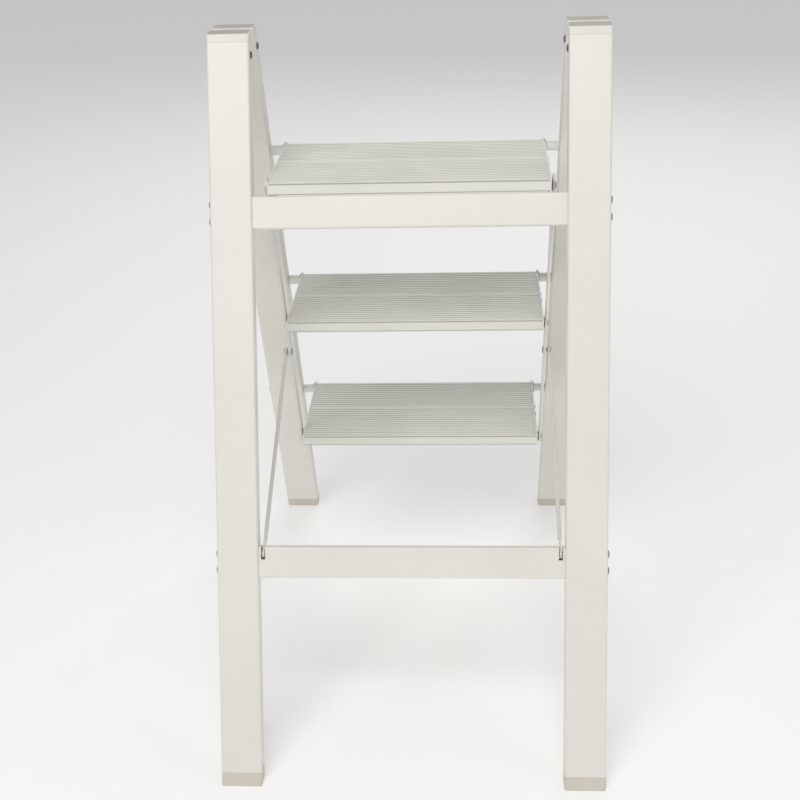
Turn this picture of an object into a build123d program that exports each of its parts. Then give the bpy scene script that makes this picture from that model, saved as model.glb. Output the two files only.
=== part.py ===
from build123d import *
import os
from math import cos, sin, tan, radians

# A folding step stool with three treads. Two equal leaning frames meet at a hinge axis
# along X: the step frame leans to +Y (the climbing side), the support frame to -Y.
# Millimetres, +Z up, the origin on the floor under the middle of the stool.

# ---------------------------------------------------------------- whole stool
overall_width = 470.0        # over the legs
overall_height = 838.0       # floor to the top of the hinge heads
lean = 21.77                 # angle of each frame from upright, degrees
head_gap = 10.5              # between the two frames at the very top
first_tread_height = 265.5   # floor to the standing surface of the bottom tread
tread_rise = 206.55          # from one standing surface to the next

# ---------------------------------------------------------------- fits
slip = 0.05                  # radial clearance of a pin or screw in its hole
drive = 0.01                 # radial clearance of a pin that is pressed in
plug_fit = 0.15              # clearance around a plastic plug in a leg
end_fit = 0.1                # end clearance of a piece that is held between the legs
part_gap = 0.3               # between pieces that move past each other

# ---------------------------------------------------------------- legs
leg_face = 50.0
leg_depth = 24.0
leg_wall = 1.4
leg_corner = 3.0
foot_height = 16.0
foot_plug = 28.0
cap_height = 9.0
cap_plug = 32.0
cap_edge = 1.5
seam_edge = 0.5              # chamfer of a shoe or cap where it meets its leg

# ---------------------------------------------------------------- top hinge
hinge_drop = 16.0            # top of the stool down to the hinge axis
knuckle_radius = 8.0
knuckle_half = 7.0           # half width of the support head's knuckle
side_knuckle = 8.0           # width of each of the step head's two knuckles
knuckle_arm = 4.4            # thickness of the arm that carries a knuckle
arm_root = 1.0               # how far the arm runs into its cap
hinge_pin_radius = 3.0
hinge_pin_proud = 0.5
head_bolt_drop = 18.8        # hinge axis to the head bolt, along the leg
head_bolt_depth = 18.0

# ---------------------------------------------------------------- crossbars
bar_height = 38.0
bar_depth = 16.0
bar_wall = 1.6
bar_corner = 2.0
port_radius = 4.5            # outside of a screw port inside the bar
port_offset = 10.0           # screw ports above and below the bar's middle
rest_gap = 0.4               # top tread's lip above the upper crossbar
lip_proud = 0.3              # top tread's lip in front of the upper crossbar's outer corner
lower_bar_drop = 620.0       # hinge axis to the middle of the lower crossbar
notch_width = 5.0
notch_below = 6.5            # notch floor below the brace pivot

# ---------------------------------------------------------------- frame screws
screw_radius = 2.5
screw_length = 70.0
screw_head_radius = 4.8
screw_head = 2.8

# ---------------------------------------------------------------- treads
side_gap = 18.8              # end plate to leg
deck_height = 14.5           # standing surface down to the bottom of the lip
skin = 1.8
rib_height = 0.8
rib_width = 2.6
rib_pitch = 7.0
land = 4.0                   # smooth strip along each plank edge
nose_clear = 0.25            # the round far edge runs free around the pivot tube
nose_wall = 1.2
lip_wall = 2.0
lip_foot = 10.0
web = 1.6
web_depth = 6.0
deck_port_radius = 3.2
deck_port_drop = 5.4         # standing surface to the middle of a screw port
deck_port_inset = 12.0       # screw port from the plank's edge
nose_port_inset = 12.0       # first screw port behind the nose
plank_gap = 0.2
plate = 2.0
plate_proud = 0.6
plate_corner = 2.0
ear_margin = 2.8             # the plate's pivot ear beyond the round far edge
pin_inset = 30.6             # link pin from the near edge of the tread
pin_drop = 15.5              # standing surface down to the link pin
lobe_radius = 8.5
lobe_near = 18.0
lobe_far = 26.0
deck_screw_radius = 1.75
deck_screw_length = 18.0
deck_screw_head_radius = 3.4
deck_screw_head = 1.6

# ---------------------------------------------------------------- pivot tubes
pivot_tube_radius = 6.25
pivot_tube_wall = 1.5
insert_length = 32.0
bush_wall = 1.25
bush_rim = 1.5               # flange beyond the body of the bush
bush_flange = 1.8

# ---------------------------------------------------------------- links and braces
link_gap = 2.7               # end plate to link bar
link_width = 16.0
link_thickness = 3.0
link_top = 15.0              # link bar beyond the top pin
rivet_radius = 3.0
rivet_head_radius = 4.6
rivet_tail = 2.0
rivet_head = 1.5
washer_radius = 6.0
brace_drop = 49.8            # middle tread's link pin to the brace pivot, along the link
brace_gap = 3.05             # link bar to brace
brace_flat = 2.5
brace_eye_radius = 6.0
brace_flat_length = 24.0
brace_rod_radius = 2.5
brace_splay = 3.2            # how much further out the brace is at its foot
stud_head = 1.8

# ---------------------------------------------------------------- worked out
slope = radians(lean)
hinge_z = overall_height - hinge_drop
face_offset = (head_gap / 2 + hinge_drop * tan(slope)) * cos(slope)
mid_offset = face_offset + leg_depth / 2
leg_x = overall_width / 2 - leg_face / 2
inner_x = overall_width / 2 - leg_face
pivot_tube_bore = pivot_tube_radius - pivot_tube_wall
nose_bore = pivot_tube_radius + nose_clear
nose_radius = nose_bore + nose_wall
ear_radius = nose_radius + ear_margin
bush_radius = pivot_tube_radius + bush_wall
bush_flange_radius = bush_radius + bush_rim
pivot_drop = nose_radius

plate_out = inner_x - side_gap
deck_end = plate_out - plate
link_in = plate_out + link_gap
link_out = link_in + link_thickness
brace_top_x = link_out + brace_gap + brace_flat / 2
brace_foot_x = brace_top_x + brace_splay

tread_tops = [first_tread_height + tread_rise * step for step in (2, 1, 0)]
tread_names = ("top", "middle", "bottom")
sides = (("left", -1), ("right", 1))


def drop_to(height, offset):
    """Distance down a leg, from the hinge axis, at which a line `offset` out from it has this height."""
    return (hinge_z + offset * sin(slope) - height) / cos(slope)


def reach_out(drop, offset):
    """How far from the middle of the stool a point on a leaning frame stands."""
    return drop * sin(slope) + offset * cos(slope)


bar_out = mid_offset + bar_depth / 2
lip_bottom = tread_tops[0] - deck_height
upper_bar_drop = drop_to(lip_bottom - rest_gap, bar_out) + bar_height / 2
upper_bar_y = -reach_out(upper_bar_drop - bar_height / 2, bar_out)

pivots = []
for top in tread_tops:
    pivot_z = top - pivot_drop
    pivots.append((reach_out(drop_to(pivot_z, mid_offset), mid_offset), pivot_z))

reach = pivots[0][0] - upper_bar_y + lip_proud
split = (nose_radius - reach) / 2
pin_y = -(reach - pin_inset)
pin_z = pivot_drop - pin_drop
deck_top = pivot_drop
deck_bottom = deck_top - deck_height
port_z = deck_top - deck_port_drop
deck_ports = (-nose_radius - nose_port_inset, split + deck_port_inset,
              split - deck_port_inset, -reach + deck_port_inset + land)

link_pins = [(y + pin_y, z + pin_z) for y, z in pivots]
link_span = tread_rise * 2 / cos(slope)
brace_at = tread_rise / cos(slope) + brace_drop
brace_top = (link_pins[0][0] + brace_at * sin(slope), link_pins[0][1] - brace_at * cos(slope))
brace_foot_drop = lower_bar_drop - port_offset
brace_foot = (-reach_out(brace_foot_drop, mid_offset),
              hinge_z - brace_foot_drop * cos(slope) + mid_offset * sin(slope))


# ---------------------------------------------------------------- helpers
def on_step(shape):
    """From the upright working frame (hinge axis at the origin, +Y outwards) to the step frame."""
    return Pos(0, 0, hinge_z) * Rot(lean, 0, 0) * shape


def on_support(shape):
    return mirror(on_step(shape), about=Plane.XZ)


def slab(low, high):
    """Everything between two heights above the floor."""
    wide = 4 * overall_height
    return Pos(0, 0, (low + high) / 2) * Box(wide, wide, high - low)


def rod(x0, x1, y, z, radius):
    """A cylinder along X."""
    return Pos((x0 + x1) / 2, y, z) * Rot(0, 90, 0) * Cylinder(radius, abs(x1 - x0))


def dome(x, side, y, z, radius, height):
    """A low domed head that stands out from the face at x, towards the given side."""
    profile = Plane.XZ * make_face(Polyline((0, 0), (radius, 0), (radius, height * 0.35),
                                               (radius * 0.7, height * 0.85), (0, height), (0, 0)))
    head = revolve(profile, axis=Axis.Z)
    return Pos(x, y, z) * Rot(0, 90 * side, 0) * head


def along_x(sketch, x0, x1):
    """A section drawn in (Y, Z) and drawn out between two places along X."""
    return Pos(x0, 0, 0) * extrude(Plane.YZ * sketch, x1 - x0)


def block(y0, y1, z0, z1):
    """A rectangle in a (Y, Z) section."""
    return Pos((y0 + y1) / 2, (z0 + z1) / 2) * Rectangle(y1 - y0, z1 - z0)


def save(name, shape):
    if isinstance(shape, (list, tuple)):
        shape = Compound(children=list(shape))
    export_step(shape, "parts/%s.step" % name)


# ---------------------------------------------------------------- legs, feet and hinge heads
def leg_prism(side, inset):
    """A leg's outline, longer than the leg at both ends, in the working frame."""
    outline = RectangleRounded(leg_face - 2 * inset, leg_depth - 2 * inset, max(leg_corner - inset, 0.6))
    above = 2 * leg_depth + hinge_drop
    return extrude(Pos(side * leg_x, mid_offset, above) * outline, -(overall_height / cos(slope) + 2 * above))


def leg(side, place, cross_drops, head_holes=True):
    """A leg tube, cut level at both ends, with a hole through both walls for each cross screw."""
    tube = leg_prism(side, 0) - leg_prism(side, leg_wall)
    for drop in cross_drops:
        tube -= rod(side * (inner_x - 5), side * (overall_width / 2 + 5), mid_offset, -drop, screw_radius + slip)
    if head_holes:
        tube -= rod(side * (inner_x - 5), side * (inner_x + 5), mid_offset, -head_bolt_drop, screw_radius + slip)
    return place(tube) & slab(foot_height, overall_height - cap_height)


def foot(side, place):
    """A plastic foot: a level shoe as wide as the leg, and a plug inside it."""
    shoe = place(leg_prism(side, 0)) & slab(0, foot_height)
    shoe = chamfer(shoe.edges().group_by(Axis.Z)[-1], seam_edge)
    plug = place(leg_prism(side, leg_wall + plug_fit)) & slab(foot_height, foot_height + foot_plug)
    return shoe + plug


def head_shell(side, place):
    """The cap and plug of a hinge head, with the hole for its bolt."""
    top = overall_height - cap_height
    cap = place(leg_prism(side, 0)) & slab(top, overall_height)
    cap = fillet(cap.edges().group_by(Axis.Z)[-1], cap_edge)
    cap = chamfer(cap.edges().group_by(Axis.Z)[0], seam_edge)
    plug = place(leg_prism(side, leg_wall + plug_fit)) & slab(top - cap_plug, top)
    bolt = rod(side * inner_x, side * (inner_x + head_bolt_depth), mid_offset, -head_bolt_drop, screw_radius + slip)
    return cap + plug - place(bolt)


def knuckle(side, place, x0, x1, hole):
    """A hinge knuckle between two distances from the leg's middle, on its arm."""
    xa = side * leg_x + x0
    xb = side * leg_x + x1
    barrel = rod(xa, xb, 0, 0, knuckle_radius)
    long = face_offset + arm_root
    arm = Pos((xa + xb) / 2, long / 2, knuckle_radius - knuckle_arm / 2) * Box(xb - xa, long, knuckle_arm)
    return place(barrel + arm - rod(xa - 1, xb + 1, 0, 0, hole))


def step_hinge_head(side):
    near = knuckle_half + part_gap
    far = near + side_knuckle
    head = head_shell(side, on_step)
    for x0, x1 in ((-far, -near), (near, far)):
        head += knuckle(side, on_step, x0, x1, hinge_pin_radius + drive)
    return head


def support_hinge_head(side):
    return head_shell(side, on_support) + knuckle(side, on_support, -knuckle_half, knuckle_half,
                                                  hinge_pin_radius + slip)


def hinge_pin(side):
    half = knuckle_half + part_gap + side_knuckle + hinge_pin_proud
    return rod(side * leg_x - half, side * leg_x + half, 0, hinge_z, hinge_pin_radius)


def head_bolt(side, place):
    shank = rod(side * inner_x, side * (inner_x + head_bolt_depth - 0.5), mid_offset, -head_bolt_drop, screw_radius)
    head = dome(side * inner_x, -side, mid_offset, -head_bolt_drop, screw_head_radius, screw_head)
    return place(shank + head)


# ---------------------------------------------------------------- crossbars and cross screws
def crossbar(drop, notched):
    """A box tube between the support legs, with two screw ports and, in the lower one, brace notches."""
    section = RectangleRounded(bar_depth, bar_height, bar_corner)
    hollow = RectangleRounded(bar_depth - 2 * bar_wall, bar_height - 2 * bar_wall, bar_corner - bar_wall + 0.2)
    section -= hollow
    for z in (-port_offset, port_offset):
        section += Pos(0, z) * (Circle(port_radius) + Rectangle(bar_depth - bar_wall, bar_wall))
    for z in (-port_offset, port_offset):
        section -= Pos(0, z) * Circle(screw_radius + slip)
    half = inner_x - end_fit
    bar = along_x(Pos(mid_offset, -drop) * section, -half, half)
    if notched:
        deep = bar_height / 2 - port_offset + notch_below
        for side in (-1, 1):
            bar -= Pos(side * brace_foot_x, mid_offset, -drop + bar_height / 2 - deep / 2 + 1) * Box(
                notch_width, bar_depth + 2, deep + 2)
    return on_support(bar)


def cross_screw(side, place, drop, length):
    """A domed screw from a leg's outer face inwards."""
    face = overall_width / 2
    shank = rod(side * (face - length), side * face, mid_offset, -drop, screw_radius)
    return place(shank + dome(side * face, side, mid_offset, -drop, screw_head_radius, screw_head))


# ---------------------------------------------------------------- treads
def ribs(y0, y1):
    """The raised ribs of a plank between two of its smooth lands."""
    count = int((y1 - y0) / rib_pitch)
    start = (y0 + y1 - (count - 1) * rib_pitch) / 2
    rib = Rectangle(rib_width, 2 * rib_height)
    return [Pos(start + n * rib_pitch, deck_top - rib_height) * rib for n in range(count)]


def port(y):
    return Pos(y, port_z) * Circle(deck_port_radius)


def outer_plank():
    """The plank on the climbing side; its round nose turns on the pivot tube."""
    edge = split + plank_gap / 2
    section = block(edge, 0, deck_top - rib_height - skin, deck_top - rib_height) + Circle(nose_radius)
    section += block(edge, edge + land, deck_top - rib_height - skin, deck_top)
    section += block(edge, edge + web, deck_top - web_depth - skin, deck_top - rib_height)
    section += block(split / 2 - web / 2, split / 2 + web / 2, deck_top - web_depth - skin, deck_top - rib_height)
    for rib in ribs(edge + land, -nose_radius / 2):
        section += rib
    for y in deck_ports[:2]:
        section = section + port(y) - Pos(y, port_z) * Circle(deck_screw_radius + slip)
    section -= Circle(nose_bore)
    return along_x(section, -deck_end, deck_end)


def inner_plank():
    """The plank on the support side; its near edge is the deep smooth lip."""
    edge = split - plank_gap / 2
    middle = (edge - reach) / 2
    section = block(-reach, edge, deck_top - rib_height - skin, deck_top - rib_height)
    section += block(edge - land, edge, deck_top - rib_height - skin, deck_top)
    section += block(-reach, -reach + land, deck_top - rib_height - skin, deck_top)
    section += block(-reach, -reach + lip_wall, deck_bottom, deck_top)
    section += block(-reach, -reach + lip_foot, deck_bottom, deck_bottom + lip_wall)
    for y in (edge - web / 2, middle):
        section += block(y - web / 2, y + web / 2, deck_top - web_depth - skin, deck_top - rib_height)
    for rib in ribs(-reach + land, edge - land):
        section += rib
    for y in deck_ports[2:]:
        section = section + port(y) - Pos(y, port_z) * Circle(deck_screw_radius + slip)
    return along_x(section, -deck_end, deck_end)


def end_plate(side):
    """A plate that closes a tread's end, with the pivot ear and the lobe for the link pin."""
    tall = deck_height + plate_proud
    outline = Pos(-reach / 2, deck_top + plate_proud - tall / 2) * RectangleRounded(reach, tall, plate_corner)
    outline += Circle(ear_radius)
    outline += Pos(pin_y, pin_z) * Circle(lobe_radius)
    level = deck_bottom + plate_corner
    foot_of_lobe = pin_z - lobe_radius * 0.86
    outline += make_face(Polyline((pin_y - lobe_near, level), (pin_y + lobe_far, level),
                                  (pin_y + lobe_radius / 2, foot_of_lobe), (pin_y - lobe_radius / 2, foot_of_lobe),
                                  (pin_y - lobe_near, level)))
    outline -= Circle(bush_radius + drive)
    outline -= Pos(pin_y, pin_z) * Circle(rivet_radius + slip)
    for y in deck_ports:
        outline -= Pos(y, port_z) * Circle(deck_screw_radius + slip)
    return along_x(outline, side * deck_end, side * plate_out)


def bush(side):
    """The flanged nylon bush of a tread's end plate, running on the pivot tube."""
    body = rod(side * deck_end, side * plate_out, 0, 0, bush_radius)
    flange = rod(side * plate_out, side * (plate_out + bush_flange), 0, 0, bush_flange_radius)
    return body + flange - rod(side * (deck_end - 5), side * inner_x, 0, 0, pivot_tube_radius + slip)


def deck_screw(side, y):
    shank = rod(side * (plate_out - deck_screw_length), side * plate_out, y, port_z, deck_screw_radius)
    return shank + dome(side * plate_out, side, y, port_z, deck_screw_head_radius, deck_screw_head)


def make_tread(name, pivot):
    at = Pos(0, pivot[0], pivot[1])
    save("tread_%s_outer_plank" % name, at * outer_plank())
    save("tread_%s_inner_plank" % name, at * inner_plank())
    for word, side in sides:
        save("tread_%s_end_plate_%s" % (name, word), at * end_plate(side))
    save("tread_%s_bushes" % name, [at * bush(side) for word, side in sides])
    save("tread_%s_screws" % name, [at * deck_screw(side, y) for word, side in sides for y in deck_ports])


# ---------------------------------------------------------------- pivot tubes
def pivot_tube(pivot):
    half = inner_x - end_fit
    tube = rod(-half, half, pivot[0], pivot[1], pivot_tube_radius)
    return tube - rod(-half - 1, half + 1, pivot[0], pivot[1], pivot_tube_bore)


def tube_insert(side, pivot):
    half = inner_x - end_fit
    plug = rod(side * (half - insert_length), side * half, pivot[0], pivot[1], pivot_tube_bore - drive)
    return plug - rod(side * (half - insert_length - 1), side * (half + 1), pivot[0], pivot[1],
                      screw_radius + slip)


# ---------------------------------------------------------------- links
def link_bar(side):
    """A flat bar, parallel to the step frame, that joins the three treads' near ends."""
    top_end = link_top - link_width / 2
    outline = Pos(0, (top_end - link_span) / 2) * Rectangle(link_width, top_end + link_span)
    outline += Pos(0, top_end) * Circle(link_width / 2)
    outline += Pos(0, -link_span) * Circle(link_width / 2)
    for drop in (0, link_span / 2, link_span, brace_at):
        outline -= Pos(0, -drop) * Circle(rivet_radius + drive)
    bar = along_x(outline, side * link_in, side * link_out)
    return Pos(0, link_pins[0][0], link_pins[0][1]) * Rot(lean, 0, 0) * bar


def link_rivet(side, at):
    """A rivet through an end plate, a washer and the link bar."""
    tail = deck_end - part_gap
    shank = rod(side * tail, side * link_out, at[0], at[1], rivet_radius)
    inside = rod(side * (tail - rivet_tail), side * tail, at[0], at[1], rivet_head_radius)
    return shank + inside + dome(side * link_out, side, at[0], at[1], rivet_head_radius, rivet_head)


def link_washer(side, at):
    ring = rod(side * (plate_out + part_gap), side * (link_in - slip), at[0], at[1], washer_radius)
    return ring - rod(side * plate_out, side * link_in, at[0], at[1], rivet_radius + slip)


def brace_stud(side):
    """The stud on the link bar at which the brace ends."""
    y, z = brace_top
    shank = rod(side * link_in, side * (link_out + brace_gap - part_gap), y, z, rivet_radius)
    return shank + dome(side * link_in, -side, y, z, rivet_head_radius, stud_head)


# ---------------------------------------------------------------- braces
def brace_rod(side):
    """A round rod with a flattened eye at each end."""
    ty, tz = brace_top
    fy, fz = brace_foot
    top = Vector(side * brace_top_x, ty, tz)
    low = Vector(side * brace_foot_x, fy, fz)
    run = (top - low).normalized()
    turn = Vector(0, ty - fy, tz - fz).get_signed_angle(Vector(0, 1, 0), Vector(-1, 0, 0))
    start = low + run * (brace_flat_length - brace_rod_radius)
    length = (top - low).length - 2 * (brace_flat_length - brace_rod_radius)
    body = Plane(start, z_dir=run) * Cylinder(brace_rod_radius, length, align=(Align.CENTER, Align.CENTER, Align.MIN))
    for centre, away in ((top, -1), (low, 1)):
        eye = Circle(brace_eye_radius)
        tongue = Pos(away * brace_flat_length / 2, 0) * Rectangle(brace_flat_length, 2 * brace_eye_radius * 0.8)
        flat = extrude(Plane.YZ * (eye + tongue), brace_flat / 2, both=True)
        body += Pos(centre) * Rot(turn, 0, 0) * flat
    body -= rod(side * (brace_top_x - 5), side * (brace_top_x + 5), ty, tz, rivet_radius + drive)
    body -= rod(side * (brace_foot_x - 5), side * (brace_foot_x + 5), fy, fz, screw_radius + slip)
    return body


def brace_cap(side):
    """The headed plug in the brace's upper eye."""
    y, z = brace_top
    inside = brace_top_x - brace_flat / 2
    outside = brace_top_x + brace_flat / 2
    plug = rod(side * inside, side * outside, y, z, rivet_radius)
    return plug + dome(side * outside, side, y, z, rivet_head_radius, stud_head)


# ---------------------------------------------------------------- assembly
def make_step_frame():
    pivot_drops = [drop_to(z, mid_offset) for y, z in pivots]
    for word, side in sides:
        save("step_leg_%s" % word, leg(side, on_step, pivot_drops))
        save("step_foot_%s" % word, foot(side, on_step))
        save("step_hinge_head_%s" % word, step_hinge_head(side))
        save("hinge_pin_%s" % word, hinge_pin(side))
    save("step_head_bolts", [head_bolt(side, on_step) for word, side in sides])
    for name, pivot in zip(tread_names, pivots):
        save("pivot_tube_%s" % name, pivot_tube(pivot))
    save("pivot_tube_inserts", [tube_insert(side, pivot) for word, side in sides for pivot in pivots])
    length = leg_face + insert_length - 4
    save("pivot_tube_screws", [cross_screw(side, on_step, drop, length) for word, side in sides
                               for drop in pivot_drops])


def make_support_frame():
    drops = [bar + port for bar in (upper_bar_drop, lower_bar_drop) for port in (-port_offset, port_offset)]
    for word, side in sides:
        save("support_leg_%s" % word, leg(side, on_support, drops))
        save("support_foot_%s" % word, foot(side, on_support))
        save("support_hinge_head_%s" % word, support_hinge_head(side))
    save("support_head_bolts", [head_bolt(side, on_support) for word, side in sides])
    save("upper_crossbar", crossbar(upper_bar_drop, False))
    save("lower_crossbar", crossbar(lower_bar_drop, True))
    save("crossbar_screws", [cross_screw(side, on_support, drop, screw_length) for word, side in sides
                             for drop in drops])


def make_links_and_braces():
    for word, side in sides:
        save("link_bar_%s" % word, link_bar(side))
        save("link_rivets_%s" % word, [link_rivet(side, at) for at in link_pins])
        save("link_washers_%s" % word, [link_washer(side, at) for at in link_pins])
        save("brace_stud_%s" % word, brace_stud(side))
        save("brace_rod_%s" % word, brace_rod(side))
        save("brace_cap_%s" % word, brace_cap(side))


os.makedirs("parts", exist_ok=True)
make_step_frame()
make_support_frame()
for tread_name, tread_pivot in zip(tread_names, pivots):
    make_tread(tread_name, tread_pivot)
make_links_and_braces()
print("hinge axis (0, %.3f)" % hinge_z, "reach %.3f" % reach, "pivots", pivots)
print("link pins", link_pins, "brace top", brace_top, "brace foot", brace_foot)
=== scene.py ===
from math import cos, pi, radians, sin, sqrt

import bmesh
import bpy
from bpy.props import FloatProperty, FloatVectorProperty, IntProperty, PointerProperty
from bpy.types import Operator, Panel, PropertyGroup
from mathutils import Matrix, Vector


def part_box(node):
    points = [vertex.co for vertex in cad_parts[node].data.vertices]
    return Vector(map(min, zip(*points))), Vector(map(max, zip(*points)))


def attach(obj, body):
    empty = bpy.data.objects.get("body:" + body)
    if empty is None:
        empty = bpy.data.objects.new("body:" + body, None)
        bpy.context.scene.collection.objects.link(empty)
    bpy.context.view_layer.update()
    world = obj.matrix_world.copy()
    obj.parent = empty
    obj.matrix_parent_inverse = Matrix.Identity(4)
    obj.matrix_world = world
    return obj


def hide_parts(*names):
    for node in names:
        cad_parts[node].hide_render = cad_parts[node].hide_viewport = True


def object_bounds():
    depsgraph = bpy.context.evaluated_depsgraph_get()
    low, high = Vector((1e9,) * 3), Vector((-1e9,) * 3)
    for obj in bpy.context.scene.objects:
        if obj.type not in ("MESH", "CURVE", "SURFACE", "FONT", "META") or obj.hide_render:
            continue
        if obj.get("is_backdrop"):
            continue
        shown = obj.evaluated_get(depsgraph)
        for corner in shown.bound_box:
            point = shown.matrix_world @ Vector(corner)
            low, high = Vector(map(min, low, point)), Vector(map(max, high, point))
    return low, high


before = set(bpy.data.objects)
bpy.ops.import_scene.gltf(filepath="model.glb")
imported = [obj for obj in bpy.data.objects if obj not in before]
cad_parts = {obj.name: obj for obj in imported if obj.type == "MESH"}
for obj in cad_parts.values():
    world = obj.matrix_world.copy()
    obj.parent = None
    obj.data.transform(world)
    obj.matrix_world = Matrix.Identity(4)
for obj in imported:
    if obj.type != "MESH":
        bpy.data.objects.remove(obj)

bl_info = {
    "name": "Folding step stool",
    "version": (1, 0, 0),
    "blender": (4, 5, 0),
    "location": "View3D > Sidebar > Step stool",
    "description": "Finishes and fine pieces of a folding stool with three treads",
    "category": "Object",
}

SIDES = ("left", "right")
TREADS = ("top", "middle", "bottom")

CREASE = radians(32.0)              # sharper edges than this stay crisp
CORNER_STEPS = 4                    # facets over a rounded corner of a plank
RIB_FULLNESS = 0.5                  # below 1, a rib's sides are steeper and its top flatter
NOSE_FACETS = 48
PORT_FACETS = 20
SHANK_FACETS = 24
DOME_STEPS = 6                      # rows of facets from a head's rim to its tip
HEAD_SEAT = 0.98                    # a head's seat, as a share of its radius
SEAT_RISE = 0.12                    # height at which a head is widest, as a share of the whole
DRIVE_TURN = radians(37.0)          # from one screw's recess to the next one's

# Depth below a standing surface in mm, and how strongly painted shade darkens the coat there:
# first the painted shade in the grooves between the ribs and along the lip, then the painted shade
# on the lip's stepped lower edge.
SHADE_AT_DEPTH = ((0.2, 0.0), (0.7, 1.0), (2.0, 1.0), (2.24, 0.0),
                 (12.7, 0.0), (12.9, 1.0), (14.6, 1.0), (15.0, 0.0))
DEPTH_RANGE_MM = 20.0

# Name, place, width and height, tint and the setting that holds the power.
LIGHTS = (
    ("key_light", (-0.5, -2.15, 2.55), (2.2, 1.6), (1.0, 0.99, 0.975), "key_power"),
    ("fill_light", (2.8, -1.4, 1.5), (1.6, 1.8), (0.98, 0.99, 1.0), "fill_power"),
    ("back_light", (0.4, 2.6, 2.3), (2.4, 1.6), (1.0, 1.0, 1.0), "back_power"),
)
SENSOR_WIDTH = 36.0
CLIP = (0.05, 50.0)
WHITE = (1.0, 1.0, 1.0, 1.0)


# ------------------------------------------------------------------ settings

def length(name, description, default):
    return FloatProperty(name=name, description=description, default=default, min=0.0,
                         unit="LENGTH", precision=5)


def colour(name, description, default):
    return FloatVectorProperty(name=name, description=description, default=default, min=0.0,
                               max=1.0, size=3, subtype="COLOR")


def turn(name, description, degrees):
    return FloatProperty(name=name, description=description, default=radians(degrees),
                         subtype="ANGLE", unit="ROTATION")


def power(name, description, default):
    return FloatProperty(name=name, description=description, default=default, min=0.0,
                         unit="POWER")


class StoolPlankSizes(PropertyGroup):
    rib_pitch: length("Rib pitch", "Distance between two ribs of a plank", 0.0070)
    rib_width: length("Rib width", "Width of a rib at its root", 0.0046)
    rib_height: length("Rib height", "Height of a rib", 0.0008)
    rib_facets: IntProperty(name="Rib facets", description="Facets over a rounded rib",
                            default=6, min=3, max=16)
    land: length("Land", "Smooth strip along each edge of a plank", 0.0040)
    skin: length("Skin", "Thickness of the plank's deck", 0.0018)
    web: length("Web", "Thickness of the webs under the deck", 0.0016)
    web_depth: length("Web depth", "Deck down to the lower edge of a web", 0.0060)
    lip_wall: length("Lip wall", "Thickness of the deep near lip", 0.0020)
    lip_foot: length("Lip foot", "Width of the lip's inward foot", 0.0100)
    groove_top: length("Groove top", "Standing surface down to the groove along the lip", 0.0008)
    groove_height: length("Groove height", "Height of the groove along the lip", 0.0014)
    groove_depth: length("Groove depth", "Depth of the groove along the lip", 0.0011)
    step_height: length("Step height", "Height of the stepped lower edge of the lip", 0.0017)
    corner: length("Corner", "Rounding of the lip and of the deck's edges", 0.0009)
    nose_wall: length("Nose wall", "Wall of the round far edge", 0.0012)
    port_radius: length("Port radius", "Outside of a screw port under the deck", 0.0032)
    port_bore: length("Port bore", "Hole of a screw port", 0.0018)
    port_drop: length("Port drop", "Standing surface down to a screw port", 0.0054)
    port_inset: length("Port inset", "Plank edge to a screw port", 0.0120)


class StoolScrewSizes(PropertyGroup):
    head_radius: length("Head radius", "Radius of a screw head", 0.0048)
    head_height: length("Head height", "Height of a domed screw head", 0.0028)
    bolt_radius: length("Bolt radius", "Radius of a hinge head bolt's head", 0.0042)
    bolt_height: length("Bolt height", "Height of a hinge head bolt's head", 0.0021)
    shank_radius: length("Shank radius", "Radius of the shank", 0.0025)
    rim: length("Rim", "Straight rim under the dome", 0.0009)
    cross_span: length("Cross span", "Tip to tip of the cross recess", 0.0048)
    cross_width: length("Cross width", "Width of an arm of the cross recess", 0.0011)
    socket_radius: length("Socket radius", "Corner radius of the hexagon socket", 0.0024)
    recess_depth: length("Recess depth", "Depth of a drive recess", 0.0016)
    facets: IntProperty(name="Facets", description="Facets round a screw head",
                        default=40, min=12, max=96)


class StoolColours(PropertyGroup):
    paint: colour("Frame paint", "Warm white coat of the legs and crossbars", (0.80, 0.78, 0.727))
    paint_shade: colour("Frame paint shade", "The coat where it is thinner", (0.765, 0.745, 0.692))
    plank: colour("Plank", "Grey-white coat of the treads", (0.775, 0.767, 0.705))
    plank_shade: colour("Plank shade", "Darker streaks along the ribs", (0.705, 0.704, 0.642))
    # Painted shade: the groove colour is laid into the grooves between the ribs, along the lip and
    # on the lip's stepped lower edge.
    groove: colour("Groove", "Bottoms of the grooves between ribs", (0.50, 0.50, 0.445))
    plate: colour("End plate", "Coat of end plates, links and braces", (0.73, 0.725, 0.69))
    plastic: colour("Plastic", "Moulded hinge heads", (0.80, 0.78, 0.735))
    # Painted shade: a darker tone laid on the upward faces of the hinge heads.
    cap_top_painted_shade: colour("Cap top", "Upper faces of the hinge heads", (0.42, 0.405, 0.36))
    foot: colour("Foot plastic", "Moulded feet, a little yellower", (0.665, 0.625, 0.55))
    nylon: colour("Nylon", "Bushes and tube inserts", (0.52, 0.52, 0.50))
    zinc: colour("Zinc", "Plated screws, studs, plugs and pins", (0.42, 0.42, 0.42))
    dark: colour("Dark plate", "Head bolts and rivets", (0.21, 0.21, 0.215))
    washer: colour("Washer", "Dark washers between plates and links", (0.03, 0.03, 0.032))
    tube: colour("Tube", "Pivot tubes", (0.78, 0.775, 0.745))
    floor: colour("Floor", "Plain pale floor", (0.96, 0.96, 0.955))


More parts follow.
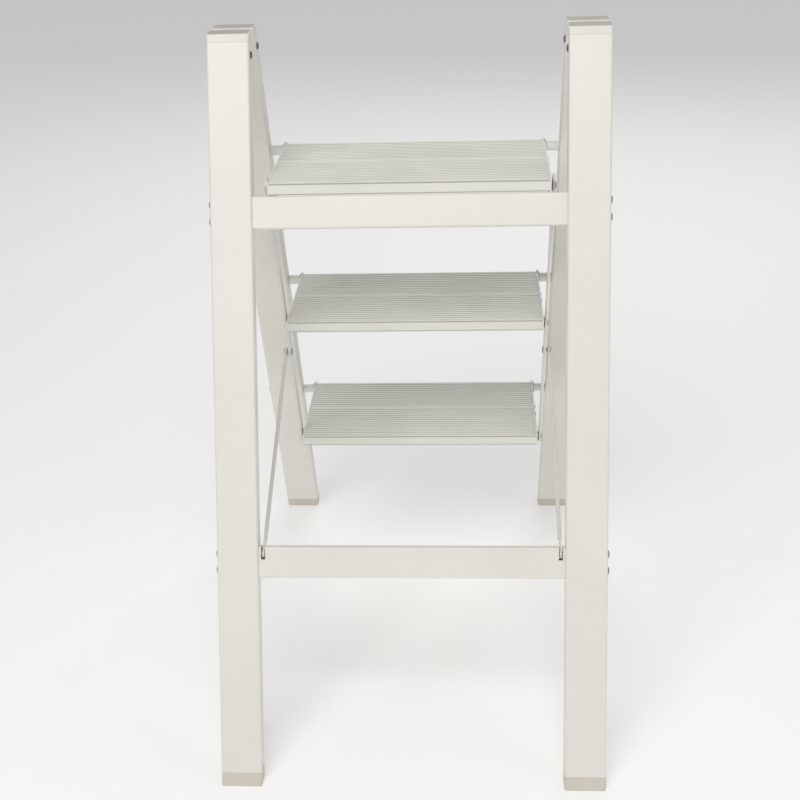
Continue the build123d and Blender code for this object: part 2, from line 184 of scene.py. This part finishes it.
class StoolStage(PropertyGroup):
    place: FloatVectorProperty(name="Camera place", description="Where the camera stands", size=3,
                               default=(0.0707, -1.6514, 1.1224), subtype="TRANSLATION",
                               unit="LENGTH")
    heading: turn("Heading", "Camera turned from +Y towards +X", -4.31)
    tilt: turn("Tilt", "Camera below the horizon", 27.85)
    roll: turn("Roll", "Camera turned about its own axis", -2.10)
    lens: FloatProperty(name="Lens", description="Focal length on a 36 mm sensor", default=61.16,
                        unit="CAMERA")
    shift_x: FloatProperty(name="Shift across", description="Lens shift across the frame",
                           default=0.0261)
    shift_y: FloatProperty(name="Shift up", description="Lens shift up the frame", default=0.0875)
    key_power: power("Key power", "Power of the broad front light", 43.0)
    fill_power: power("Fill power", "Power of the side light", 9.0)
    back_power: power("Back power", "Power of the light behind the treads", 19.0)
    surround: FloatProperty(name="Surround", description="Strength of the even light all round",
                            default=0.42, min=0.0)
    floor_glow: FloatProperty(name="Floor glow", description="Light that the floor gives off",
                              default=0.14, min=0.0)
    floor_side: length("Floor side", "Side of the square floor", 40.0)


# ------------------------------------------------------------------ shader maths

class Wire:
    """A socket of a material. Arithmetic on wires adds Math nodes."""

    def __init__(self, recipe, socket):
        self.recipe = recipe
        self.socket = socket

    def sum_with(self, operation, first, second):
        return self.recipe.node("ShaderNodeMath", {"operation": operation}, {0: first, 1: second})

    def __add__(self, other):
        return self.sum_with("ADD", self, other)

    def __radd__(self, other):
        return self.sum_with("ADD", other, self)

    def __sub__(self, other):
        return self.sum_with("SUBTRACT", self, other)

    def __rsub__(self, other):
        return self.sum_with("SUBTRACT", other, self)

    def __mul__(self, other):
        return self.sum_with("MULTIPLY", self, other)

    def __rmul__(self, other):
        return self.sum_with("MULTIPLY", other, self)


class Recipe:
    """A material and its nodes."""

    def __init__(self, name):
        self.material = bpy.data.materials.new(name)
        self.material.use_nodes = True
        self.tree = self.material.node_tree
        self.tree.nodes.clear()

    def node(self, kind, settings=None, inputs=None, output=0):
        """Adds a node: its settings first, then the values or wires of its sockets."""
        made = self.tree.nodes.new(kind)
        for key, value in (settings or {}).items():
            if key == "stops":
                self.set_stops(made.color_ramp, value)
            else:
                setattr(made, key, value)
        for key, value in (inputs or {}).items():
            if isinstance(value, Wire):
                self.tree.links.new(value.socket, made.inputs[key])
            else:
                made.inputs[key].default_value = value
        return Wire(self, made.outputs[output]) if len(made.outputs) else made

    def set_stops(self, ramp, stops):
        while len(ramp.elements) < len(stops):
            ramp.elements.new(0.5)
        for element, (position, shade) in zip(ramp.elements, stops):
            element.position = position
            element.color = (shade, shade, shade, 1.0)

    def place(self):
        """Object coordinates, in metres."""
        return self.node("ShaderNodeTexCoord", output="Object")

    def stretched(self, stretch):
        """Object coordinates, scaled along each axis."""
        return self.node("ShaderNodeMapping", {"vector_type": "POINT"},
                         {"Vector": self.place(), "Scale": stretch})

    def upward(self, vector):
        """The Z part of a vector."""
        return self.node("ShaderNodeSeparateXYZ", None, {"Vector": vector}, output="Z")

    def noise(self, vector, scale, detail=2.0, roughness=0.5):
        return self.node("ShaderNodeTexNoise", None, {"Vector": vector, "Scale": scale,
                                                      "Detail": detail, "Roughness": roughness})

    def ramp(self, factor, *stops):
        return self.node("ShaderNodeValToRGB", {"stops": stops}, {"Fac": factor})

    def blend(self, factor, first, second):
        """A mix of two colours."""
        first, second = [c if isinstance(c, Wire) else (*c, 1.0) for c in (first, second)]
        return self.node("ShaderNodeMix", {"data_type": "RGBA"},
                         {"Factor": factor, 6: first, 7: second}, output=2)

    def bump(self, height, strength, distance):
        return self.node("ShaderNodeBump", None,
                         {"Height": height, "Strength": strength, "Distance": distance})

    def surface(self, **inputs):
        """The shader and its output. Names use _ for a space."""
        values = {key.replace("_", " "): value for key, value in inputs.items()}
        shader = self.node("ShaderNodeBsdfPrincipled", None, values)
        self.node("ShaderNodeOutputMaterial", None, {"Surface": shader})
        return self.material


def darkened(tone, share):
    return [value * share for value in tone]


def powder_coat(name, base, shade, gloss=0.44, peel=0.10):
    """Sprayed and baked coat: orange peel, faint clouding and a few dust nibs."""
    r = Recipe(name)
    place = r.place()
    clouds = r.noise(place, scale=7.0, detail=3.0)
    fine = r.noise(place, scale=90.0)
    nibs = r.ramp(r.noise(place, scale=420.0, detail=1.0), (0.70, 0.0), (0.78, 1.0))
    mottle = clouds * 0.75 + fine * 0.25
    tone = r.blend(r.ramp(mottle, (0.35, 0.0), (0.65, 1.0)), shade, base)
    orange_peel = r.noise(place, scale=620.0, roughness=0.55)
    height = orange_peel + nibs * 0.8
    return r.surface(Base_Color=tone, Roughness=(mottle - 0.5) * 0.16 + gloss, IOR=1.5,
                     Coat_Weight=0.12, Coat_Roughness=0.32,
                     Normal=r.bump(height, strength=peel, distance=0.0004))


def plank_coat(name, base, shade, groove, first_top, rise):
    """Coated extrusion: drawn streaks along the ribs, painted shade in a darker greyish tone in
    the grooves and on the lip's stepped lower edge, dull where rubbed.
    """
    r = Recipe(name)
    level = (r.upward(r.place()) - first_top) * (1.0 / rise)
    next_top = r.node("ShaderNodeMath", {"operation": "CEIL"}, {0: level})
    depth = (next_top - level) * (rise * 1000.0 / DEPTH_RANGE_MM)
    # sunk is the mask of the painted shade: high in the grooves, in the strip along the lip and on
    # the lip's stepped lower edge.
    sunk = r.ramp(depth, *[(mm / DEPTH_RANGE_MM, shade_weight) for mm, shade_weight in SHADE_AT_DEPTH])
    streaks = r.noise(r.stretched((0.9, 760.0, 760.0)), scale=1.0)
    rubbed = r.ramp(r.noise(r.place(), scale=16.0, detail=4.0, roughness=0.6),
                    (0.42, 0.0), (0.66, 1.0))
    grain = r.noise(r.place(), scale=700.0)
    # The groove colour laid on where sunk is high is painted shade, not the coat's own tone.
    tone = r.blend(sunk, r.blend(streaks * 0.7 + rubbed * 0.3, base, shade), groove)
    height = streaks * 0.7 + grain * 0.5
    return r.surface(Base_Color=tone, Roughness=rubbed * 0.14 + streaks * 0.10 + 0.36, IOR=1.5,
                     Normal=r.bump(height, strength=0.12, distance=0.0003))


def moulded_plastic(name, base, gloss=0.5, top=None):
    """Fine eroded grain and slight flow clouding; `top` is a painted shade tone that darkens faces
    that look up.
    """
    r = Recipe(name)
    place = r.place()
    flow = r.noise(place, scale=22.0, detail=3.0)
    grain = r.node("ShaderNodeTexVoronoi", {"feature": "F1"}, {"Vector": place, "Scale": 900.0})
    tone = r.blend(r.ramp(flow, (0.3, 0.0), (0.7, 1.0)), darkened(base, 0.93), base)
    if top:
        # Painted shade: faces that look up are blended towards the darker top tone.
        upward_shade_mask = r.upward(r.node("ShaderNodeNewGeometry", output="Normal"))
        tone = r.blend(r.ramp(upward_shade_mask, (0.80, 0.0), (0.97, 1.0)), tone, top)
    return r.surface(Base_Color=tone, Roughness=flow * 0.12 + gloss, IOR=1.46,
                     Subsurface_Weight=0.04, Subsurface_Radius=(0.004, 0.003, 0.002),
                     Normal=r.bump(grain, strength=0.10, distance=0.0003))


def plated_steel(name, base, gloss=0.34):
    """Turned and plated steel, slightly blotched."""
    r = Recipe(name)
    blotch = r.noise(r.place(), scale=260.0, detail=3.0, roughness=0.6)
    scratch = r.noise(r.stretched((90.0, 900.0, 900.0)), scale=1.0)
    tone = r.blend(r.ramp(blotch, (0.35, 0.0), (0.62, 1.0)), darkened(base, 0.72), base)
    return r.surface(Base_Color=tone, Metallic=0.95, Roughness=blotch * 0.22 + (gloss - 0.1),
                     Normal=r.bump(scratch, strength=0.10, distance=0.0001))


def nylon(name, base, gloss=0.42):
    """Smooth cast nylon with faint turning marks."""
    r = Recipe(name)
    rings = r.noise(r.stretched((2600.0, 60.0, 60.0)), scale=1.0, detail=1.0)
    cloud = r.noise(r.place(), scale=130.0)
    tone = r.blend(cloud, darkened(base, 0.86), base)
    return r.surface(Base_Color=tone, Roughness=cloud * 0.1 + (gloss - 0.05), IOR=1.5,
                     Normal=r.bump(rings, strength=0.12, distance=0.0001))


def floor_paint(name, base, glow):
    """Plain matt floor, lit a little from within."""
    r = Recipe(name)
    cloud = r.noise(r.place(), scale=2.0, detail=3.0)
    return r.surface(Base_Color=r.blend(cloud, darkened(base, 0.985), base),
                     Roughness=cloud * 0.05 + 0.7, Emission_Color=WHITE, Emission_Strength=glow)


def finish(name, maker, *args):
    """A finish by its name, made the first time. The name isn't one of the record's slots."""
    return bpy.data.materials.get(name) or maker(name, *args)


def plate_finish(tones):
    return finish("plate_coat", powder_coat, tones.plate, darkened(tones.plate, 0.95), 0.40, 0.07)


def tube_finish(tones):
    return finish("tube_coat", powder_coat, tones.tube, darkened(tones.tube, 0.93), 0.36, 0.05)


def zinc_finish(tones):
    return finish("zinc_plate", plated_steel, tones.zinc)


def dark_finish(tones):
    return finish("dark_plate", plated_steel, tones.dark, 0.42)


def dress(node, material):
    """Gives a CAD node its finish."""
    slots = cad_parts[node].material_slots
    if not slots:
        raise RuntimeError("node %s has no material slot" % node)
    for slot in slots:
        slot.material = material


# ------------------------------------------------------------------ mesh helpers

def new_piece(name, mesh, material, body, replaced):
    """Adds a piece that stands for the CAD nodes in `replaced`."""
    piece = bpy.data.objects.new(name, mesh)
    bpy.context.scene.collection.objects.link(piece)
    mesh.materials.append(material)
    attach(piece, body)
    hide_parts(*replaced)
    return piece


def to_mesh(name, bm):
    """A finished mesh, smooth but for its creases."""
    bmesh.ops.recalc_face_normals(bm, faces=bm.faces)
    mesh = bpy.data.meshes.new(name)
    bm.to_mesh(mesh)
    bm.free()
    mesh.shade_smooth()
    mesh.set_sharp_from_angle(angle=CREASE)
    return mesh


def ring(radius, facets, across=0.0, up=0.0):
    """Points on a circle."""
    angles = [2 * pi * k / facets for k in range(facets)]
    return [(across + radius * cos(a), up + radius * sin(a)) for a in angles]


def arc(y, z, radius, start, end, steps):
    """Points on an arc in (y, z); angles in degrees."""
    angles = [radians(start + (end - start) * k / steps) for k in range(steps + 1)]
    return [(y + radius * cos(a), z + radius * sin(a)) for a in angles]


def wall(bm, first, second):
    """Faces between two closed rows of vertices."""
    for k in range(len(first)):
        j = (k + 1) % len(first)
        bm.faces.new((first[k], first[j], second[j], second[k]))


def prism(bm, outline, x0, x1):
    """A closed outline in (y, z), drawn along X."""
    near = [bm.verts.new((x0, y, z)) for y, z in outline]
    far = [bm.verts.new((x1, y, z)) for y, z in outline]
    bm.faces.new(near)
    bm.faces.new(far[::-1])
    wall(bm, near, far)


def tube(bm, x0, x1, y, z, outer, inner, facets):
    """A ring section drawn along X."""
    rows = [[bm.verts.new((x, *point)) for point in ring(radius, facets, y, z)]
            for x in (x0, x1) for radius in (outer, inner)]
    near_out, near_in, far_out, far_in = rows
    wall(bm, near_out, far_out)
    wall(bm, far_in, near_in)
    wall(bm, near_in, near_out)
    wall(bm, far_out, far_in)


def loose_boxes(node):
    """The box of each separate solid in a CAD node, from left to right."""
    bm = bmesh.new()
    bm.from_mesh(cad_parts[node].data)
    bmesh.ops.remove_doubles(bm, verts=bm.verts, dist=1e-6)
    left = set(bm.verts)
    boxes = []
    while left:
        group = {left.pop()}
        front = list(group)
        while front:
            near = {vert for edge in front.pop().link_edges for vert in edge.verts} & left
            left -= near
            group |= near
            front += near
        places = [vert.co for vert in group]
        low = Vector([min(p[i] for p in places) for i in range(3)])
        high = Vector([max(p[i] for p in places) for i in range(3)])
        boxes.append((low, high))
    bm.free()
    return sorted(boxes, key=lambda box: tuple(box[0]))


# ------------------------------------------------------------------ treads

def rib_points(sizes, centre, base):
    """A rounded rib, from its near root to its far root."""
    angles = [pi * k / sizes.rib_facets for k in range(sizes.rib_facets + 1)]
    return [(centre - sizes.rib_width / 2 * cos(a),
             base + sizes.rib_height * sin(a) ** RIB_FULLNESS) for a in angles]


def deck_points(sizes, low, high, base):
    """The ribbed part of a plank's upper side between two places along Y."""
    count = int((high - low) / sizes.rib_pitch)
    start = (low + high - (count - 1) * sizes.rib_pitch) / 2
    points = []
    for n in range(count):
        points += rib_points(sizes, start + n * sizes.rib_pitch, base)
    return points


def web_points(sizes, y, under, foot):
    """A web under the deck, from its far side to its near side."""
    half = sizes.web / 2
    return [(y + half, under), (y + half, foot), (y - half, foot), (y - half, under)]


def add_ports(bm, sizes, low, high, places):
    """The screw ports that run under the deck at these places along Y."""
    for y in places:
        tube(bm, low.x, high.x, y, high.z - sizes.port_drop, sizes.port_radius, sizes.port_bore,
             PORT_FACETS)


def outer_plank(name, sizes):
    """The plank on the climbing side, with its round far edge."""
    low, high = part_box("tread_%s_outer_plank" % name)
    radius = (high.z - low.z) / 2
    nose_y, nose_z = high.y - radius, high.z - radius
    top, base = high.z, high.z - sizes.rib_height
    under, foot = base - sizes.skin, top - sizes.web_depth - sizes.skin
    in_wall = radius - sizes.nose_wall / 2
    soft = sizes.corner
    outline = arc(low.y + soft, top - soft, soft, 180, 90, CORNER_STEPS)
    outline += [(low.y + sizes.land, top), (low.y + sizes.land + sizes.rib_height / 2, base)]
    outline += deck_points(sizes, low.y + sizes.land, nose_y - radius / 2, base)
    outline += [(nose_y - sqrt(in_wall ** 2 - (z - nose_z) ** 2), z) for z in (base, under)]
    outline += web_points(sizes, (low.y + high.y) / 2 - radius + sizes.web, under, foot)
    outline += [(low.y + sizes.web, under), (low.y + sizes.web, foot), (low.y, foot)]
    bm = bmesh.new()
    prism(bm, outline, low.x, high.x)
    tube(bm, low.x, high.x, nose_y, nose_z, radius, radius - sizes.nose_wall, NOSE_FACETS)
    add_ports(bm, sizes, low, high,
              (nose_y - radius - sizes.port_inset, low.y + sizes.port_inset))
    return to_mesh("tread_%s_outer_deck" % name, bm)


def inner_plank(name, sizes):
    """The plank on the support side, with its deep near lip."""
    low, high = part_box("tread_%s_inner_plank" % name)
    top, base = high.z, high.z - sizes.rib_height
    under, foot = base - sizes.skin, top - sizes.web_depth - sizes.skin
    soft, step = sizes.corner, low.z + sizes.step_height
    sunk = low.y + sizes.groove_depth
    groove_high = top - sizes.groove_top
    groove_low = groove_high - sizes.groove_height
    outline = [(sunk, low.z), (sunk, step), (low.y, step)]
    outline += [(low.y, groove_low - soft / 3), (low.y + soft / 3, groove_low)]
    outline += [(sunk, groove_low), (sunk, groove_high), (low.y + soft / 3, groove_high)]
    outline += [(low.y + soft / 3, top - soft / 2), (low.y + soft, top)]
    outline += [(low.y + sizes.land, top), (low.y + sizes.land + sizes.rib_height / 2, base)]
    outline += deck_points(sizes, low.y + sizes.land, high.y - sizes.land, base)
    outline += [(high.y - sizes.land - sizes.rib_height / 2, base), (high.y - sizes.land, top)]
    outline += arc(high.y - soft, top - soft, soft, 90, 0, CORNER_STEPS)
    outline += [(high.y, foot), (high.y - sizes.web, foot), (high.y - sizes.web, under)]
    outline += web_points(sizes, (low.y + high.y) / 2, under, foot)
    shelf = low.z + sizes.lip_wall
    outline += [(low.y + sizes.lip_wall, under), (low.y + sizes.lip_wall, shelf)]
    outline += [(low.y + sizes.lip_foot, shelf), (low.y + sizes.lip_foot, low.z)]
    bm = bmesh.new()
    prism(bm, outline, low.x, high.x)
    add_ports(bm, sizes, low, high,
              (high.y - sizes.port_inset, low.y + sizes.land + sizes.port_inset))
    return to_mesh("tread_%s_inner_deck" % name, bm)


# ------------------------------------------------------------------ screws

def domed_head(bm, sizes, radius, height):
    """A head turned about Z, standing on z = 0, with its rim rounded into the dome."""
    rows = [(radius * HEAD_SEAT, 0.0), (radius, height * SEAT_RISE), (radius, sizes.rim)]
    for k in range(1, DOME_STEPS):
        a = pi / 2 * k / DOME_STEPS
        rows.append((radius * cos(a), sizes.rim + (height - sizes.rim) * sin(a)))
    rings = [[bm.verts.new((*point, z)) for point in ring(reach, sizes.facets)]
             for reach, z in rows]
    tip = bm.verts.new((0.0, 0.0, height))
    bm.faces.new(rings[0][::-1])
    for lower, upper in zip(rings, rings[1:]):
        wall(bm, lower, upper)
    last = rings[-1]
    for k in range(sizes.facets):
        bm.faces.new((last[k], last[(k + 1) % sizes.facets], tip))


def upright_prism(bm, outline, z0, z1):
    """A closed outline in (x, y), drawn along Z."""
    low = [bm.verts.new((x, y, z0)) for x, y in outline]
    high = [bm.verts.new((x, y, z1)) for x, y in outline]
    bm.faces.new(low[::-1])
    bm.faces.new(high)
    wall(bm, low, high)


def cross_outline(span, width):
    """A plain cross, one arm after the other."""
    s, w = span / 2, width / 2
    points = []
    for c, n in ((1, 0), (0, 1), (-1, 0), (0, -1)):
        points += [(x * c - y * n, x * n + y * c) for x, y in ((s, w), (w, w), (w, s))]
    return points


def recessed_head(sizes, radius, height, recess):
    """A head with its drive recess cut out, as a mesh standing on z = 0."""
    blank, cutter = bmesh.new(), bmesh.new()
    domed_head(blank, sizes, radius, height)
    upright_prism(cutter, recess, height - sizes.recess_depth, height * 2)
    head = bpy.data.objects.new("head_blank", to_mesh("head_blank", blank))
    tool = bpy.data.objects.new("head_cutter", to_mesh("head_cutter", cutter))
    for made in (head, tool):
        bpy.context.scene.collection.objects.link(made)
    cut = head.modifiers.new("recess", "BOOLEAN")
    cut.operation = "DIFFERENCE"
    cut.object = tool
    cut.solver = "EXACT"
    bpy.context.view_layer.update()
    graph = bpy.context.evaluated_depsgraph_get()
    mesh = bpy.data.meshes.new_from_object(head.evaluated_get(graph))
    for made in (head, tool):
        bpy.data.objects.remove(made)
    if len(mesh.polygons) < sizes.facets:
        raise RuntimeError("the drive recess was not cut")
    return mesh


def leg_face(leg, side, outwards):
    """Where a leg's outer or inner face stands along X; side is -1 on the left, 1 on the right."""
    low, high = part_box(leg % ("right" if side > 0 else "left"))
    return high.x if outwards == (side > 0) else low.x


def screws_like(node, leg, sizes, head, outwards=True):
    """One mesh that holds every screw of a CAD node, each with its head on its leg's face."""
    bm = bmesh.new()
    for number, (low, high) in enumerate(loose_boxes(node)):
        centre = (low + high) / 2
        side = 1.0 if centre.x > 0 else -1.0
        out = side if outwards else -side
        face = leg_face(leg, side, outwards)
        start = len(bm.verts)
        bm.from_mesh(head)
        bm.verts.ensure_lookup_table()
        move = Matrix.Translation((face, centre.y, centre.z))
        move = move @ Matrix.Rotation(out * pi / 2, 4, "Y")
        move = move @ Matrix.Rotation(DRIVE_TURN * number, 4, "Z")
        bmesh.ops.transform(bm, matrix=move, verts=bm.verts[start:])
        end = low.x if out > 0 else high.x
        shank = ring(sizes.shank_radius, SHANK_FACETS, centre.y, centre.z)
        prism(bm, shank, min(end, face), max(end, face))
    return to_mesh(node + "_driven", bm)


# ------------------------------------------------------------------ operators

class StoolOperator:
    bl_options = {"REGISTER", "UNDO"}


class STOOL_OT_frames(StoolOperator, Operator):
    """Coats the legs and the crossbars"""
    bl_idname = "stool.frames"
    bl_label = "Coat the frames"

    def execute(self, context):
        tones = context.scene.stool_colours
        coat = finish("frame_powder_coat", powder_coat, tones.paint, tones.paint_shade)
        for side in SIDES:
            dress("step_leg_%s" % side, coat)
            dress("support_leg_%s" % side, coat)
        dress("upper_crossbar", coat)
        dress("lower_crossbar", coat)
        return {"FINISHED"}


class STOOL_OT_mouldings(StoolOperator, Operator):
    """Gives the feet and the hinge heads their moulded grain"""
    bl_idname = "stool.mouldings"
    bl_label = "Finish the mouldings"

    def execute(self, context):
        tones = context.scene.stool_colours
        # The hinge head finish paints shade on the heads' upward faces.
        head = finish("hinge_head_plastic", moulded_plastic, tones.plastic, 0.5, tones.cap_top_painted_shade)
        foot = finish("foot_moulding", moulded_plastic, tones.foot, 0.56)
        for side in SIDES:
            for part in ("step", "support"):
                dress("%s_hinge_head_%s" % (part, side), head)
                dress("%s_foot_%s" % (part, side), foot)
        return {"FINISHED"}


class STOOL_OT_planks(StoolOperator, Operator):
    """Builds the ribbed planks of the three treads"""
    bl_idname = "stool.planks"
    bl_label = "Build the planks"

    def execute(self, context):
        sizes = context.scene.stool_plank_sizes
        tones = context.scene.stool_colours
        tops = [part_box("tread_%s_inner_plank" % name)[1].z for name in ("bottom", "middle")]
        # The plank finish includes painted shade in the grooves and on the lip's stepped lower
        # edge.
        coat = finish("plank_coat", plank_coat, tones.plank, tones.plank_shade, tones.groove,
                      tops[0], tops[1] - tops[0])
        for name in TREADS:
            for word, maker in (("outer", outer_plank), ("inner", inner_plank)):
                node = "tread_%s_%s_plank" % (name, word)
                new_piece("tread_%s_%s_deck" % (name, word), maker(name, sizes), coat,
                          "tread_%s" % name, (node,))
        return {"FINISHED"}


class STOOL_OT_tread_ends(StoolOperator, Operator):
    """Finishes the end plates, bushes, small screws and pivot tubes"""
    bl_idname = "stool.tread_ends"
    bl_label = "Finish the tread ends"

    def execute(self, context):
        tones = context.scene.stool_colours
        bush = finish("turned_nylon", nylon, tones.nylon)
        for name in TREADS:
            for side in SIDES:
                dress("tread_%s_end_plate_%s" % (name, side), plate_finish(tones))
            dress("tread_%s_bushes" % name, bush)
            dress("tread_%s_screws" % name, zinc_finish(tones))
            dress("pivot_tube_%s" % name, tube_finish(tones))
        dress("pivot_tube_inserts", bush)
        return {"FINISHED"}


class STOOL_OT_linkage(StoolOperator, Operator):
    """Finishes the links, braces, rivets, washers and hinge pins"""
    bl_idname = "stool.linkage"
    bl_label = "Finish the linkage"

    def execute(self, context):
        tones = context.scene.stool_colours
        finishes = {
            "link_bar": plate_finish(tones),
            "brace_rod": plate_finish(tones),
            "link_rivets": dark_finish(tones),
            "brace_stud": zinc_finish(tones),
            "brace_cap": zinc_finish(tones),
            "link_washers": finish("washer_nylon", nylon, tones.washer),
            "hinge_pin": zinc_finish(tones),
        }
        for side in SIDES:
            for part, material in finishes.items():
                dress("%s_%s" % (part, side), material)
        return {"FINISHED"}


class STOOL_OT_screws(StoolOperator, Operator):
    """Builds the driven screws of the crossbars, pivot tubes and hinge heads"""
    bl_idname = "stool.screws"
    bl_label = "Build the screws"

    def execute(self, context):
        sizes = context.scene.stool_screw_sizes
        tones = context.scene.stool_colours
        cross = recessed_head(sizes, sizes.head_radius, sizes.head_height,
                              cross_outline(sizes.cross_span, sizes.cross_width))
        hexagon = recessed_head(sizes, sizes.bolt_radius, sizes.bolt_height,
                                ring(sizes.socket_radius, 6))
        for node, part in (("crossbar_screws", "support"), ("pivot_tube_screws", "step")):
            mesh = screws_like(node, part + "_leg_%s", sizes, cross)
            new_piece(node + "_driven", mesh, zinc_finish(tones), part + "_frame",
                      (node,))
        for part in ("step", "support"):
            node = part + "_head_bolts"
            mesh = screws_like(node, part + "_leg_%s", sizes, hexagon, outwards=False)
            new_piece(node + "_driven", mesh, dark_finish(tones), part + "_frame",
                      (node,))
        return {"FINISHED"}


class STOOL_OT_stage(StoolOperator, Operator):
    """Adds the floor, the lights, the surround and the camera"""
    bl_idname = "stool.stage"
    bl_label = "Set the stage"

    def execute(self, context):
        stage = context.scene.stool_stage
        self.add_floor(context, stage)
        self.add_lights(context, stage)
        self.add_surround(context, stage)
        self.add_camera(context, stage)
        return {"FINISHED"}

    def add_floor(self, context, stage):
        tone = context.scene.stool_colours.floor
        half = stage.floor_side / 2
        bm = bmesh.new()
        corners = [(-half, -half), (half, -half), (half, half), (-half, half)]
        bm.faces.new([bm.verts.new((x, y, 0.0)) for x, y in corners])
        mesh = bpy.data.meshes.new("floor")
        bm.to_mesh(mesh)
        bm.free()
        mesh.materials.append(finish("floor_paint", floor_paint, tone, stage.floor_glow))
        floor = bpy.data.objects.new("floor", mesh)
        context.scene.collection.objects.link(floor)
        floor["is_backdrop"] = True

    def add_lights(self, context, stage):
        """Area lights that all face the middle of the stool."""
        low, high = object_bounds()
        centre = (low + high) / 2
        for name, place, size, tint, setting in LIGHTS:
            lamp = bpy.data.lights.new(name, "AREA")
            lamp.shape = "RECTANGLE"
            lamp.size, lamp.size_y = size
            lamp.energy = getattr(stage, setting)
            lamp.color = tint
            light = bpy.data.objects.new(name, lamp)
            context.scene.collection.objects.link(light)
            light.location = place
            light.rotation_euler = (centre - Vector(place)).to_track_quat("-Z", "Y").to_euler()

    def add_surround(self, context, stage):
        world = bpy.data.worlds.new("soft_surround")
        world.use_nodes = True
        sky = world.node_tree.nodes["Background"]
        sky.inputs["Color"].default_value = WHITE
        sky.inputs["Strength"].default_value = stage.surround
        context.scene.world = world
        context.scene.view_settings.view_transform = "Standard"

    def add_camera(self, context, stage):
        data = bpy.data.cameras.new("camera")
        data.lens = stage.lens
        data.sensor_width = SENSOR_WIDTH
        data.shift_x, data.shift_y = stage.shift_x, stage.shift_y
        data.clip_start, data.clip_end = CLIP
        camera = bpy.data.objects.new("camera", data)
        context.scene.collection.objects.link(camera)
        aim = Matrix.Rotation(-stage.heading, 4, "Z")
        aim = aim @ Matrix.Rotation(pi / 2 - stage.tilt, 4, "X")
        aim = aim @ Matrix.Rotation(stage.roll, 4, "Z")
        camera.matrix_world = Matrix.Translation(stage.place) @ aim
        context.scene.camera = camera


class STOOL_PT_panel(Panel):
    """Lists the steps and the settings"""
    bl_idname = "STOOL_PT_panel"
    bl_label = "Step stool"
    bl_space_type = "VIEW_3D"
    bl_region_type = "UI"
    bl_category = "Step stool"

    def draw(self, context):
        for operator in OPERATORS:
            self.layout.operator(operator.bl_idname)
        for name in SETTINGS:
            group = getattr(context.scene, name)
            box = self.layout.box()
            for key in group.__annotations__:
                box.prop(group, key)


OPERATORS = (STOOL_OT_frames, STOOL_OT_mouldings, STOOL_OT_planks, STOOL_OT_tread_ends,
             STOOL_OT_linkage, STOOL_OT_screws, STOOL_OT_stage)
SETTINGS = {"stool_plank_sizes": StoolPlankSizes, "stool_screw_sizes": StoolScrewSizes,
            "stool_colours": StoolColours, "stool_stage": StoolStage}


def register():
    for group in (*SETTINGS.values(), *OPERATORS, STOOL_PT_panel):
        bpy.utils.register_class(group)
    for name, group in SETTINGS.items():
        setattr(bpy.types.Scene, name, PointerProperty(type=group))


def unregister():
    for name in SETTINGS:
        delattr(bpy.types.Scene, name)
    for group in (STOOL_PT_panel, *reversed(OPERATORS), *SETTINGS.values()):
        bpy.utils.unregister_class(group)


def main():
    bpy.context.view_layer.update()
    register()
    for operator in OPERATORS:
        space, name = operator.bl_idname.split(".")
        getattr(getattr(bpy.ops, space), name)()


if __name__ == "__main__":
    main()
